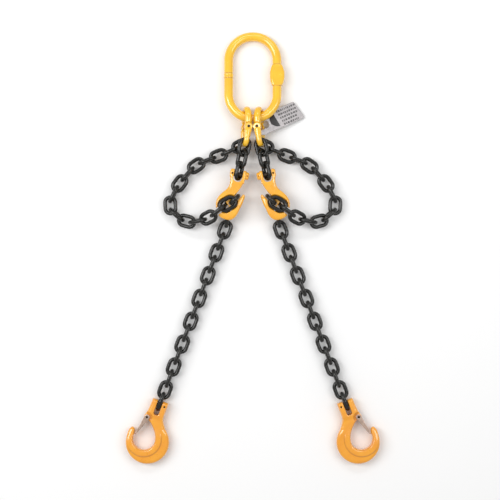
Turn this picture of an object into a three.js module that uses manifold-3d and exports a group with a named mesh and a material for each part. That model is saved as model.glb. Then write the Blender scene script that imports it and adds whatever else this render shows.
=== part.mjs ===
// Two-leg chain sling with shortening hooks, lying flat. Millimetres, +Z up, +Y towards the master link.
import * as THREE from "three";
import { mergeVertices } from "three/addons/utils/BufferGeometryUtils.js";
import Module from "manifold-3d";

// ---- Driving dimensions ----
const CHAIN_WIRE = 8;
const CHAIN_PITCH = 24;
const CHAIN_SLACK = 0.4; // play between neighbouring links
const LINK_CROWN = 10.3; // centreline radius of a link's round end
const MASTER_WIRE = 18;
const MASTER_INSIDE = [77, 146];
const MASTER_REST_Z = 9; // the far end of the master link lies on the ground
const WELD = { radius: 9.8, length: 9, up: 3 }; // upset weld on the left bar, above its middle
const BOSS = { half: 9.6, out: 1, up: 4 }; // flattened oval on the right bar
const LOCK_WIRE = 11; // coupling link stock
const LOCK_HALF_WIDTH = 17; // centreline half width of a coupling link
const LOCK_PIN = 4; // radius of its load pin
const LOCK_PIN_HALF = 21;
const LOCK_EYE = 7.2; // outer radius of its hinge eyes
const BUSH = { radius: 6, half: 10 }; // centre bush on the load pin
const LOCK_Z = 25.2; // height of the coupling links' middle
const LOCK_X = 12; // each coupling link's pin, off the middle plane
const LOCK_PIN_Y = 240;
const LOCK_ROLL = 12; // degrees, rear legs splayed outwards
const LOCK_TILT = 8; // degrees, lower halves turned outwards
const LOCK_TOP = 35; // pin to the upper bow's centreline
const LOCK_BOTTOM = 34.3; // pin to the lower bow's centreline
const BAR_HANG = 4.2; // master link's bar below the coupling bows that hang on it
const BOW_SHARE = 6.3; // the two chain ends sit this far either side of a lower bow's middle
const GRAB_HALF = 9; // half thickness of the shortening hook
const GRAB_WEB = 3.6; // half thickness of its web beside the slot
const GRAB_PIN = 4.5;
const GRAB_PIN_HALF = 13.8;
const GRAB_FORK = [8.7, 15]; // inside and outside half width of its fork
const GRAB_BOSS = { radius: 7.6, reach: 21 }; // round boss on its inner ear
const GRAB_TURN = 12; // degrees, shank off straight down
const SLOT_ANGLE = 45; // degrees, which way the chain slot opens
const SLOT_WIDTH = 9.6;
const SLOT_AT = [3, -49.5]; // from the hook's load pin to the middle of the held link, in the hook's frame
const HELD_TWIST = 15; // degrees, the links either side of the held link turn off the slot
const HELD_DROP = 12; // degrees, the rear one slopes down to the ground
const SLING_Z = 14.6;
const SLING_HALF = 11;
const SLING_PIN = 5;
const SLING_PIN_HALF = 15.8;
const SLING_FORK = [5.2, 16.5];
const KEEPER = 1.8; // radius of the spring pins that lock the hooks' load pins
const LATCH_PIN = { radius: 2, half: 8.6 };
const SPRING_RADIUS = 3.8;
const LEG_LINKS = 17;
const LEG_TURN = 20.5; // degrees, leg off straight down
const GAP = 0.3; // clearance in every pivot
const THROUGH = 26; // half length of a tool that cuts right through a fitting
const ROUND = 12; // sides of a round pin or hole

const wasm = await Module();
wasm.setup();

const V = (x, y, z = 0) => new THREE.Vector3(x, y, z);
const rad = THREE.MathUtils.degToRad;
const heading = (degrees) => V(Math.cos(rad(degrees)), Math.sin(rad(degrees)));

// ---- Materials ----
const finish = (color, roughness, metalness) =>
  new THREE.MeshStandardMaterial({ color, roughness, metalness });
const YELLOW = finish(0xf7bd2c, 0.35, 0.1);
const AMBER = finish(0xf2a832, 0.38, 0.1);
const BLACK = finish(0x33332f, 0.45, 0.6);
const STEEL = finish(0xb9b4ab, 0.35, 0.9);
const TAG = finish(0xbdb9b8, 0.4, 0.8);

// ---- Solids ----
function solidOf(geometry) {
  const plain = geometry.clone();
  plain.deleteAttribute("normal");
  plain.deleteAttribute("uv");
  const merged = mergeVertices(plain, 1e-3);
  return new wasm.Manifold(
    new wasm.Mesh({
      numProp: 3,
      vertProperties: new Float32Array(merged.attributes.position.array),
      triVerts: new Uint32Array(merged.index.array),
    }),
  );
}

function geometryOf(solid) {
  const mesh = solid.getMesh();
  return new THREE.BufferGeometry()
    .setAttribute("position", new THREE.BufferAttribute(mesh.vertProperties, 3))
    .setIndex(new THREE.BufferAttribute(mesh.triVerts, 1));
}

const join = (...geometries) =>
  geometryOf(geometries.map(solidOf).reduce((all, next) => all.add(next)));
const cut = (body, ...tools) =>
  geometryOf(tools.map(solidOf).reduce((left, tool) => left.subtract(tool), solidOf(body)));

function place(geometry, { roll = 0, turn = 0, at = V(0, 0) } = {}) {
  return geometry
    .clone()
    .applyMatrix4(new THREE.Matrix4().makeRotationY(rad(roll)))
    .applyMatrix4(new THREE.Matrix4().makeRotationZ(rad(turn)))
    .translate(at.x, at.y, at.z);
}

// A round bar from one point to another.
function bar(from, to, radius, sides = ROUND) {
  const along = to.clone().sub(from);
  const geometry = new THREE.CylinderGeometry(radius, radius, along.length(), sides);
  const turn = new THREE.Quaternion().setFromUnitVectors(V(0, 1), along.clone().normalize());
  const middle = from.clone().add(to).multiplyScalar(0.5);
  return geometry.applyQuaternion(turn).translate(middle.x, middle.y, middle.z);
}

// A round bar along Z, its middle at the origin.
const upright = (radius, half, sides = ROUND) => bar(V(0, 0, -half), V(0, 0, half), radius, sides);

function block(low, high) {
  const size = high.clone().sub(low);
  const middle = low.clone().add(high).multiplyScalar(0.5);
  return new THREE.BoxGeometry(size.x, size.y, size.z).translate(middle.x, middle.y, middle.z);
}

// A flat outline made into a plate with bevelled edges, its middle at z = 0.
function plate(shape, half, bevel = 0, curveSegments = 3) {
  return new THREE.ExtrudeGeometry(shape, {
    depth: 2 * (half - bevel),
    bevelEnabled: bevel > 0,
    bevelThickness: bevel,
    bevelSize: bevel,
    bevelOffset: -bevel,
    bevelSegments: 1,
    curveSegments,
  }).translate(0, 0, bevel - half);
}

// ---- Chain ----
// The ring lies in the XY plane with its long way along Y.
function ring(radius, straightHalf, wire, arcSteps, sides) {
  const rows = [];
  for (const end of [1, -1]) {
    for (let i = 0; i <= arcSteps; i++) {
      const a = (i / arcSteps) * Math.PI + (end > 0 ? 0 : Math.PI);
      rows.push({ out: V(Math.cos(a), Math.sin(a)), middle: V(0, end * straightHalf) });
    }
  }
  const positions = [];
  for (const { out, middle } of rows) {
    for (let k = 0; k < sides; k++) {
      const b = (k * 2 * Math.PI) / sides;
      const reach = radius + (wire / 2) * Math.cos(b);
      positions.push(middle.x + out.x * reach, middle.y + out.y * reach, (wire / 2) * Math.sin(b));
    }
  }
  const index = [];
  for (let i = 0; i < rows.length; i++) {
    const next = (i + 1) % rows.length;
    for (let k = 0; k < sides; k++) {
      const a = i * sides + k;
      const b = next * sides + k;
      const c = next * sides + ((k + 1) % sides);
      const d = i * sides + ((k + 1) % sides);
      index.push(a, b, c, a, c, d);
    }
  }
  return new THREE.BufferGeometry()
    .setAttribute("position", new THREE.Float32BufferAttribute(positions, 3))
    .setIndex(index);
}

const LINK_APEX = CHAIN_PITCH / 2 + CHAIN_SLACK / 2 + CHAIN_WIRE / 2; // centre to crown centreline
const PIVOT = (CHAIN_WIRE + CHAIN_SLACK) / 2; // half the distance between two linked crowns

// Half the distance between a link's two pivots: upright links pivot at their own crowns, flat ones
// at their neighbours' crowns.
const halfSpan = (roll) => CHAIN_PITCH / 2 - PIVOT * Math.cos(2 * rad(roll));

const linkRing = () => ring(LINK_CROWN, LINK_APEX - LINK_CROWN, CHAIN_WIRE, 5, 5);

// A link's frame: long way along `along`, its plane's normal turned by `roll` from straight up.
function linkMatrix({ centre, along, roll }) {
  const y = along.clone().normalize();
  const side = V(0, 0, 1).cross(y).normalize();
  const up = y.clone().cross(side).negate();
  if (up.z < 0) up.negate();
  const z = up.multiplyScalar(Math.cos(rad(roll))).addScaledVector(side, Math.sin(rad(roll)));
  const x = y.clone().cross(z);
  return new THREE.Matrix4().makeBasis(x, y, z).setPosition(centre);
}

function link(pose) {
  return linkRing().applyMatrix4(linkMatrix(pose));
}

// Links in one piece of chain, tied together at their crowns.
function chainPiece(poses) {
  const parts = poses.map(link);
  for (let i = 1; i < poses.length; i++) {
    const from = poses[i - 1].centre.clone().addScaledVector(poses[i - 1].along, LINK_APEX);
    const to = poses[i].centre.clone().addScaledVector(poses[i].along, -LINK_APEX);
    parts.push(bar(from, to, CHAIN_WIRE / 4, 4));
  }
  return join(...parts);
}

// Link poses along straight or curved line: each link spans its own length between pivots.
function straightChain(start, along, rolls) {
  const at = start.clone();
  return rolls.map((roll) => {
    const half = halfSpan(roll);
    const pose = { centre: at.clone().addScaledVector(along, half), along, roll, start: at.clone() };
    at.addScaledVector(along, 2 * half);
    return pose;
  });
}

// A point on a route, carried straight on past its end.
function routePoint(curve, t) {
  if (t <= 1) return curve.getPoint(t);
  return curve.getPoint(1).addScaledVector(curve.getTangent(1), (t - 1) * curve.getLength());
}

// Link poses stepped along a curve from its start, and the curve parameter they reach.
function curvedChain(curve, rolls) {
  const at = curve.getPoint(0);
  const poses = [];
  let t = 0;
  for (const roll of rolls) {
    const length = 2 * halfSpan(roll);
    let low = t;
    let high = t + 0.2;
    for (let i = 0; i < 40; i++) {
      const middle = (low + high) / 2;
      if (routePoint(curve, middle).distanceTo(at) < length) low = middle;
      else high = middle;
    }
    t = low;
    const next = routePoint(curve, t);
    const along = next.clone().sub(at).normalize();
    poses.push({ centre: at.clone().addScaledVector(along, length / 2), along, roll, start: at.clone() });
    at.copy(next);
  }
  return { poses, reached: t };
}

// ---- Master link ----
const masterRadius = (MASTER_INSIDE[0] + MASTER_WIRE) / 2;
const masterApex = (MASTER_INSIDE[1] + MASTER_WIRE) / 2;
const masterBarY = LOCK_PIN_Y + LOCK_TOP - LOCK_WIRE / 2 - MASTER_WIRE / 2 - BAR_HANG;
const masterTilt = Math.asin((LOCK_Z - MASTER_REST_Z - GAP) / (2 * masterApex));

function masterLink() {
  const body = ring(masterRadius, masterApex - masterRadius, MASTER_WIRE, 10, 8);
  const weld = new THREE.CylinderGeometry(WELD.radius, WELD.radius, WELD.length, 16);
  const flat = new THREE.Shape();
  flat.moveTo(-14, 0);
  flat.quadraticCurveTo(-11, 15, 0, 23);
  flat.quadraticCurveTo(13, 14, 13, 0);
  flat.quadraticCurveTo(13, -14, 0, -23);
  flat.quadraticCurveTo(-11, -15, -14, 0);
  const boss = plate(flat, BOSS.half, 2.5, 5).translate(masterRadius + BOSS.out, BOSS.up, 0);
  return join(body, weld.translate(-masterRadius, WELD.up, 0), boss)
    .translate(0, masterApex, 0)
    .applyMatrix4(new THREE.Matrix4().makeRotationX(-masterTilt))
    .translate(0, masterBarY, LOCK_Z);
}

// ---- Coupling link: two hinged halves, load pin and centre bush ----
// Drawn upright: X is its thickness, Y its length, Z its width, the pin at the origin along Z.
const EYE_INNER = [10.4, 14.2];
const EYE_OUTER = [14.5, 20.6];

function bow(reach, cornerRadius, radius) {
  const inset = LOCK_HALF_WIDTH - cornerRadius;
  const corner = reach - cornerRadius;
  const arc = (z, from, to) =>
    Array.from({ length: 4 }, (_, i) => {
      const a = rad(from + ((to - from) * i) / 3);
      return V(0, corner + cornerRadius * Math.sin(a), z + cornerRadius * Math.cos(a));
    });
  return polyTube(
    [
      V(0, 6, -LOCK_HALF_WIDTH),
      ...arc(-inset, 180, 90),
      ...arc(inset, 90, 0).slice(inset ? 0 : 1),
      V(0, 6, LOCK_HALF_WIDTH),
    ],
    radius,
    8,
  );
}

// A tube through points, its section kept square to each corner's bisector, in the plane x = 0.
function polyTube(points, radius, sides) {
  const positions = [];
  const index = [];
  points.forEach((point, i) => {
    const before = points[Math.max(i - 1, 0)];
    const after = points[Math.min(i + 1, points.length - 1)];
    const along = after.clone().sub(before).normalize();
    const across = V(1, 0, 0).cross(along);
    for (let k = 0; k < sides; k++) {
      const a = ((k + 0.5) * 2 * Math.PI) / sides;
      const p = point.clone().addScaledVector(across, radius * Math.cos(a));
      positions.push(p.x + radius * Math.sin(a), p.y, p.z);
    }
  });
  for (let i = 0; i + 1 < points.length; i++) {
    for (let k = 0; k < sides; k++) {
      const a = i * sides + k;
      const b = i * sides + ((k + 1) % sides);
      index.push(a, b, b + sides, a, b + sides, a + sides);
    }
  }
  const last = (points.length - 1) * sides;
  for (let k = 1; k + 1 < sides; k++) {
    index.push(0, k + 1, k, last, last + k, last + k + 1);
  }
  return new THREE.BufferGeometry()
    .setAttribute("position", new THREE.Float32BufferAttribute(positions, 3))
    .setIndex(index);
}

function couplingHalf(reach, cornerRadius, eye) {
  const split = (EYE_INNER[1] + EYE_OUTER[0]) / 2;
  const parts = [bow(reach, cornerRadius, LOCK_WIRE / 2)];
  for (const side of [-1, 1]) {
    parts.push(bar(V(0, 0, side * eye[0]), V(0, 0, side * eye[1]), LOCK_EYE));
    const [low, high] = [side * eye[0], side * eye[1]].sort((p, q) => p - q);
    parts.push(block(V(-5, 0, low), V(5, 9, high)));
  }
  const swept = (low, high) => bar(V(0, 0, low), V(0, 0, high), LOCK_EYE + GAP);
  const room =
    eye === EYE_INNER
      ? [swept(split, THROUGH), swept(-THROUGH, -split)]
      : [swept(-split, split)];
  return cut(join(...parts), upright(LOCK_PIN + GAP, THROUGH), ...room);
}

const couplingPin = () => upright(LOCK_PIN, LOCK_PIN_HALF);
const couplingBush = () => cut(upright(BUSH.radius, BUSH.half), upright(LOCK_PIN + GAP, THROUGH));

// ---- Hook forks: a slot for the chain's end link, a load pin across it and a keeper pin ----
const GRAB_FORK_DEPTH = 17; // load pin to the bottom of the fork
const SLING_FORK_DEPTH = 21;
const keeperX = ([inside, outside]) => (inside + outside) / 2;

// What a fork is cut by. `keeper` is -1 or 1, the side of the keeper pin.
function forkTools([inside, outside], depth, pin, keeper) {
  return [
    block(V(-inside, -depth, -THROUGH), V(inside, 12, THROUGH)),
    bar(V(-THROUGH, 0, 0), V(THROUGH, 0, 0), pin + GAP),
    upright(KEEPER + GAP, THROUGH).translate(keeper * keeperX([inside, outside]), 0, 0),
  ];
}

function loadPin(half, radius, fork, keeper) {
  const hole = upright(KEEPER + GAP, THROUGH).translate(keeper * keeperX(fork), 0, 0);
  return cut(bar(V(-half, 0, 0), V(half, 0, 0), radius), hole);
}

const keeperPin = (fork, keeper, half) => upright(KEEPER, half).translate(keeper * keeperX(fork), 0, 0);

// ---- Shortening hook, drawn with its load pin at the origin and its shank down -Y ----
function grabHook(keepClear) {
  const outline = new THREE.Shape();
  outline.moveTo(-14.5, 9);
  outline.lineTo(15, 9);
  outline.lineTo(15, -4);
  outline.quadraticCurveTo(15, -14, 8, -30);
  outline.lineTo(1, -44);
  outline.lineTo(9, -49);
  outline.lineTo(14.5, -40);
  outline.quadraticCurveTo(17.5, -33, 21.5, -38.5);
  outline.quadraticCurveTo(21, -54, 16.5, -66);
  outline.quadraticCurveTo(13, -91.5, -3, -91.5);
  outline.quadraticCurveTo(-17, -92, -24, -84);
  outline.quadraticCurveTo(-33, -70, -31.5, -57);
  outline.quadraticCurveTo(-29, -47, -20.5, -37.5);
  outline.quadraticCurveTo(-12.5, -30, -13, -20);
  const boss = bar(V(12, 0, 0), V(GRAB_BOSS.reach, 0, 0), GRAB_BOSS.radius);
  const body = join(plate(outline, GRAB_HALF, 2.4), boss);
  const opens = { turn: SLOT_ANGLE + GRAB_TURN, at: V(...SLOT_AT) };
  const slot = block(V(-LINK_CROWN, -SLOT_WIDTH / 2, -THROUGH), V(40, SLOT_WIDTH / 2, THROUGH));
  const slotEnd = upright(SLOT_WIDTH / 2, THROUGH, 16).translate(-LINK_CROWN, 0, 0);
  const fork = forkTools(GRAB_FORK, GRAB_FORK_DEPTH, GRAB_PIN, -1);
  const tools = [place(slot, opens), place(slotEnd, opens), ...fork];
  return cut(body, ...tools, ...keepClear);
}

// A flat-sided room for a link lying on the web: its outline with clearance, from the web outwards.
function linkRoom(side, from, turn, at) {
  const reach = LINK_CROWN + CHAIN_WIRE / 2 + 1;
  const straightHalf = LINK_APEX - LINK_CROWN;
  const outline = new THREE.Shape();
  outline.absarc(0, straightHalf, reach, 0, Math.PI);
  outline.absarc(0, -straightHalf, reach, Math.PI, 2 * Math.PI);
  const half = GRAB_HALF - 1;
  const room = plate(outline, half, 0, 8).translate(0, 0, side * (from + half));
  return place(room, { turn, at });
}

// ---- Sling hook, drawn with its load pin at the origin and its shank down -Y ----
const LATCH_AT = [-14.5, -31];
const LATCH_LENGTH = 41;
const LATCH_LEAN = 12.5; // degrees, latch off the shank's line
const LUG_HALF = 3;
const latchHole = () => upright(LATCH_PIN.radius + GAP, THROUGH);

function slingHook() {
  const outline = new THREE.Shape();
  outline.moveTo(-16.5, 8.5);
  outline.lineTo(16.5, 8.5);
  outline.lineTo(16.5, -18);
  outline.quadraticCurveTo(17, -30, 27, -40);
  outline.absarc(3.5, -77, 43, rad(57), rad(-180), true);
  outline.quadraticCurveTo(-41, -66, -36, -59.5);
  outline.quadraticCurveTo(-32, -57, -28.5, -62);
  outline.quadraticCurveTo(-26.5, -66, -26.5, -72);
  outline.absarc(-5, -73, 21.5, rad(180), rad(360), false);
  outline.quadraticCurveTo(15, -55, 3, -46);
  outline.quadraticCurveTo(-6, -40, -11, -37);
  outline.absarc(LATCH_AT[0], LATCH_AT[1], 6.5, rad(-60), rad(-200), true);
  outline.quadraticCurveTo(-16.5, -20, -16.5, 8.5);
  const body = plate(outline, SLING_HALF, 3.2, 6);
  const lug = V(...LATCH_AT);
  const cheek = (low, high) => bar(lug.clone().setZ(low), lug.clone().setZ(high), 10.5, 16);
  return cut(
    body,
    ...forkTools(SLING_FORK, SLING_FORK_DEPTH, SLING_PIN, 1),
    cheek(LUG_HALF, THROUGH),
    cheek(-THROUGH, -LUG_HALF),
    latchHole().translate(lug.x, lug.y, 0),
  );
}

// The latch: a folded steel plate with two ears on its pin, drawn pointing down -Y from its pivot.
const EAR = [LUG_HALF + 2.6, LUG_HALF + 4.4];

function latch() {
  const ears = [-1, 1].flatMap((side) => {
    const [low, high] = [side * EAR[0], side * EAR[1]].sort((p, q) => p - q);
    return [bar(V(0, 0, low), V(0, 0, high), 4.6, 16), block(V(-2.6, -15, low), V(3, 0, high))];
  });
  const tongue = block(V(-2.6, -LATCH_LENGTH, -EAR[1]), V(-0.6, -11, EAR[1]));
  return cut(join(...ears, tongue), latchHole());
}

// ---- Tag: a plate whose big eye hangs round the coupling link's bush ----
// Drawn with the coupling pin at the origin and its long way along X.
const TAG_EYE = 7.2; // half width of the eye
const TAG_EYE_LENGTH = 14; // its straight stretch
const TAG_TURN = 24; // degrees, its long way off +X
const TAG_SLOPE = 8; // degrees, its far end leans down
const TAG_Z = 18; // height where it crosses the pin

function tag() {
  const outline = new THREE.Shape();
  outline.moveTo(4, -18);
  outline.lineTo(90, -18);
  outline.lineTo(92, -15);
  outline.lineTo(84, 20);
  outline.lineTo(42, 20);
  outline.quadraticCurveTo(32, 18, 26, 9.6);
  outline.lineTo(0, 9.6);
  outline.absarc(0, 0, 9.6, rad(90), rad(180), false);
  outline.quadraticCurveTo(-9, -14, 4, -18);
  const hole = new THREE.Path();
  hole.absarc(TAG_EYE_LENGTH, 0, TAG_EYE, rad(90), rad(-90), true);
  hole.absarc(0, 0, TAG_EYE, rad(-90), rad(-270), true);
  outline.holes.push(hole);
  return place(plate(outline, 1, 0, 6), { roll: TAG_SLOPE, turn: TAG_TURN });
}

// ---- Layout of one side: x is measured outwards to the left, the right side is its mirror ----
const sling = new THREE.Group();

function add(parent, name, geometry, material, { roll = 0, turn = 0, at = V(0, 0) } = {}) {
  const mesh = new THREE.Mesh(place(geometry, { roll, turn }), material);
  mesh.name = name;
  mesh.position.copy(at);
  parent.add(mesh);
}

const lockPinAt = V(-LOCK_X, LOCK_PIN_Y, LOCK_Z);
const lockFrame = (turn) =>
  new THREE.Matrix4()
    .makeRotationY(rad(LOCK_ROLL))
    .multiply(new THREE.Matrix4().makeRotationZ(rad(turn)))
    .setPosition(lockPinAt);
const lowerFrame = lockFrame(-LOCK_TILT);
const bowShort = V(0, -LOCK_BOTTOM, BOW_SHARE).applyMatrix4(lowerFrame);
const bowLong = V(0, -LOCK_BOTTOM, -BOW_SHARE).applyMatrix4(lowerFrame);
const BAR_TO_PIVOT = LINK_APEX - CHAIN_WIRE / 2 - GAP; // inside of a link's crown, from its centre

const shortAlong = heading(-90 - GRAB_TURN).setZ(0);
const SHORT_ROLLS = [24, 134.5, 245];
const SHORT_PITCH = CHAIN_PITCH - 0.5; // its links hang slack
const shortCentres = [
  bowShort.clone().addScaledVector(shortAlong, BAR_TO_PIVOT - LOCK_WIRE / 2),
];
for (let i = 1; i < 3; i++) {
  shortCentres.push(shortCentres[i - 1].clone().addScaledVector(shortAlong, SHORT_PITCH));
}
const shortPoses = shortCentres.map((centre, i) => ({ centre, along: shortAlong, roll: SHORT_ROLLS[i] }));
const grabPinAt = shortCentres[2].clone().addScaledVector(shortAlong, BAR_TO_PIVOT - GRAB_PIN);
const grabMatrix = new THREE.Matrix4().makeRotationZ(rad(-GRAB_TURN)).setPosition(grabPinAt);

// The held link stands through the slot; the link in front lies on the web, the one behind slopes down.
const slotAt = V(...SLOT_AT).applyMatrix4(grabMatrix);
const slotWay = heading(SLOT_ANGLE);
const HELD_LIFT = LINK_APEX - CHAIN_WIRE - GAP; // the neighbours' height off the held link's middle
const frontWay = heading(SLOT_ANGLE - HELD_TWIST + 180);
const rearFlat = heading(SLOT_ANGLE + HELD_TWIST + 180);
const rearWay = rearFlat.clone().multiplyScalar(Math.cos(rad(HELD_DROP))).setZ(-Math.sin(rad(HELD_DROP)));
const HELD_BACK = 3; // the neighbours turn about a point this far in from the held link's middle
const heldPivot = slotAt.clone().addScaledVector(slotWay, -HELD_BACK);
const heldReach = LINK_APEX - HELD_BACK;
const frontLink = {
  centre: heldPivot.clone().addScaledVector(frontWay, heldReach).setZ(slotAt.z + HELD_LIFT),
  along: frontWay,
  roll: 0,
};
const rearApex = heldPivot.clone().addScaledVector(rearFlat, -HELD_BACK).setZ(slotAt.z - HELD_LIFT);
const rearLink = {
  centre: rearApex.clone().addScaledVector(rearWay, LINK_APEX),
  along: rearWay,
  roll: 0,
};

// A standing link: long way along Z, its plane holding the slot's direction.
function standingLink(centre, turn) {
  const geometry = linkRing();
  geometry.applyMatrix4(new THREE.Matrix4().makeRotationX(Math.PI / 2));
  return place(geometry, { turn, at: centre });
}

// The loop: links from the lower bow round to the front link. Points chosen by hand, outwards is -x.
const LOOP_SLACK = 0.6;
const LOOP_RISE = 1.2; // the last link hangs high in the front link, leaving play above the hook
const LOOP_ROLLS = [0, 95, 5, 90, 0, 90, 0, 90, -5, 82, -8, 84, -3, 90];
const loopEnd = frontLink.centre
  .clone()
  .addScaledVector(frontWay, halfSpan(0) - LOOP_SLACK)
  .add(V(0, 0, LOOP_RISE));
const LOOP_ROUTE = [
  [-40, 194, 18],
  [-67, 182, 14.8],
  [-90, 174, 14.6],
  [-112, 163, 14.6],
  [-143, 128, 14.6],
  [-158, 103, 14.6],
  [-160, 82, 14.6],
  [-147, 66, 14.8],
  [-126, 56, 16],
  [-104, 57, 24.5],
  [-84, 65, 33.6],
  [-68, 76, 38.4],
];
const LOOP_LEAVES = 200; // degrees, way of the first link off the lower bow
const loopStart = bowLong
  .clone()
  .addScaledVector(heading(LOOP_LEAVES), BAR_TO_PIVOT - LOCK_WIRE / 2 - halfSpan(0));

const LOOP_MIDDLE = V(-70, 120);

function loopCurve(bulge) {
  const points = LOOP_ROUTE.map(([x, y, z]) =>
    V(LOOP_MIDDLE.x + (x - LOOP_MIDDLE.x) * bulge, LOOP_MIDDLE.y + (y - LOOP_MIDDLE.y) * bulge, z),
  );
  return new THREE.CatmullRomCurve3([loopStart, ...points, loopEnd], false, "centripetal");
}

// The bulge that makes the loop exactly as long as its links.
function fittedLoop() {
  let low = 0.8;
  let high = 1.25;
  for (let i = 0; i < 30; i++) {
    const middle = (low + high) / 2;
    if (curvedChain(loopCurve(middle), LOOP_ROLLS).reached < 1) high = middle;
    else low = middle;
  }
  return curvedChain(loopCurve(low), LOOP_ROLLS).poses;
}
const loopPoses = fittedLoop();

function heldLinks() {
  const parts = [link(frontLink), standingLink(slotAt, SLOT_ANGLE), link(rearLink)];
  for (const end of [-1, 1]) {
    const crown = slotAt.clone().setZ(slotAt.z + end * LINK_APEX);
    parts.push(bar(crown, slotAt.clone().setZ(slotAt.z + end * HELD_LIFT), CHAIN_WIRE / 4, 4));
  }
  return join(...parts);
}

const legWay = heading(-90 - LEG_TURN);
const LEG_LEAVES = 262; // degrees, way of the first link from under the shortening hook
const LEG_ROLLS = Array.from({ length: LEG_LINKS }, (_, i) => (i % 2 ? 0 : 90));
const legStart = rearLink.centre.clone().addScaledVector(rearWay, halfSpan(0));
const legDip = Math.asin((SLING_Z - legStart.z) / (2 * halfSpan(90)));
const dipWay = heading(LEG_LEAVES).multiplyScalar(Math.cos(legDip)).setZ(Math.sin(legDip));
const firstLink = straightChain(legStart, dipWay, LEG_ROLLS.slice(0, 1));
const levelStart = legStart.clone().addScaledVector(dipWay, 2 * halfSpan(90));
const legPoses = [...firstLink, ...straightChain(levelStart, legWay, LEG_ROLLS.slice(1))];
const lastLink = legPoses[LEG_LINKS - 1];
const slingPinAt = lastLink.centre.clone().addScaledVector(legWay, BAR_TO_PIVOT - SLING_PIN);

const LOOP_PIECES = [2, 4, 3, 3, 2];
const LEG_PIECES = [3, 3, 3, 3, 3, 2];

function slices(poses, counts) {
  let from = 0;
  return counts.map((count) => {
    const piece = poses.slice(from, from + count);
    from += count;
    return piece;
  });
}

function side(name, mirror) {
  const group = new THREE.Group();
  group.scale.x = mirror;
  const put = (part, geometry, material, where) => add(group, `${name}_${part}`, geometry, material, where);
  const lock = { roll: LOCK_ROLL, at: lockPinAt };
  put("coupling_upper_half", couplingHalf(LOCK_TOP, LOCK_HALF_WIDTH, EYE_INNER), YELLOW, lock);
  const lower = place(couplingHalf(LOCK_BOTTOM, 8, EYE_OUTER), { turn: 180 - LOCK_TILT });
  put("coupling_lower_half", lower, YELLOW, lock);
  put("coupling_load_pin", couplingPin(), STEEL, lock);
  put("coupling_bush", couplingBush(), STEEL, lock);
  shortPoses.forEach((pose, i) => put(`short_link_${i + 1}`, link(pose), BLACK));

  const inGrab = { turn: -GRAB_TURN, at: grabPinAt };
  const local = new THREE.Matrix4().copy(grabMatrix).invert();
  const room = (s, pose, from) => {
    const way = pose.along.clone().setZ(0).normalize();
    const turn = Math.atan2(way.y, way.x) / rad(1) - 90 + GRAB_TURN;
    return linkRoom(s, from, turn, pose.centre.clone().applyMatrix4(local).setZ(0));
  };
  const nextLink = (pose) => {
    const length = 2 * LINK_APEX + CHAIN_WIRE + 1.5;
    const geometry = new THREE.BoxGeometry(CHAIN_WIRE + 2, length, 2 * (LINK_CROWN + 5.2));
    return geometry.applyMatrix4(linkMatrix({ ...pose, roll: pose.roll - 90 })).applyMatrix4(local);
  };
  const keepClear = [
    room(1, frontLink, GRAB_WEB),
    room(-1, rearLink, GRAB_WEB),
    nextLink(loopPoses[LOOP_ROLLS.length - 1]),
    nextLink(legPoses[0]),
  ];
  put("grab_hook", grabHook(keepClear), AMBER, inGrab);
  put("grab_hook_load_pin", loadPin(GRAB_PIN_HALF, GRAB_PIN, GRAB_FORK, -1), STEEL, inGrab);
  put("grab_hook_keeper_pin", keeperPin(GRAB_FORK, -1, GRAB_HALF - 0.6), STEEL, inGrab);
  put("held_links", heldLinks(), BLACK);
  slices(loopPoses, LOOP_PIECES).forEach((poses, i) =>
    put(`loop_chain_${i + 1}`, chainPiece(poses), BLACK),
  );
  slices(legPoses, LEG_PIECES).forEach((poses, i) =>
    put(`leg_chain_${i + 1}`, chainPiece(poses), BLACK),
  );

  const inSling = { turn: -LEG_TURN, at: slingPinAt };
  put("sling_hook", slingHook(), AMBER, inSling);
  put("sling_hook_load_pin", loadPin(SLING_PIN_HALF, SLING_PIN, SLING_FORK, 1), STEEL, inSling);
  put("sling_hook_keeper_pin", keeperPin(SLING_FORK, 1, SLING_HALF - 0.6), STEEL, inSling);
  const lugAt = V(...LATCH_AT).applyMatrix4(
    new THREE.Matrix4().makeRotationZ(rad(-LEG_TURN)).setPosition(slingPinAt),
  );
  const inLatch = { turn: -LEG_TURN - LATCH_LEAN, at: lugAt };
  put("latch", latch(), STEEL, inLatch);
  put("latch_pin", upright(LATCH_PIN.radius, LATCH_PIN.half), STEEL, inLatch);
  const coil = bar(V(0, 0, LUG_HALF + GAP), V(0, 0, EAR[0] - GAP), SPRING_RADIUS, 16);
  const spring = cut(coil, latchHole());
  put("latch_spring", spring, STEEL, inLatch);
  sling.add(group);
}

add(sling, "master_link", masterLink(), YELLOW);
add(sling, "id_tag", tag(), TAG, { at: V(LOCK_X, LOCK_PIN_Y, TAG_Z) });
side("left", 1);
side("right", -1);

// The origin is the middle of the footprint, on the ground.
const extent = new THREE.Box3().setFromObject(sling);
sling.position.set(0, -(extent.min.y + extent.max.y) / 2, -extent.min.z);

const part = new THREE.Group();
part.add(sling);
export default part;
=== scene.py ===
"""A two-leg chain sling lying on a pale floor. Metres, +Z up.

A master link carries an identification tag and two coupling links. Each coupling holds a short chain with
a shortening hook, a loop of spare chain, and a long leg with a sling hook. The left side is drawn, and the
right side is its mirror image.
"""

import itertools
import math
import random

import bpy
from mathutils import Matrix, Vector


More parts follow.
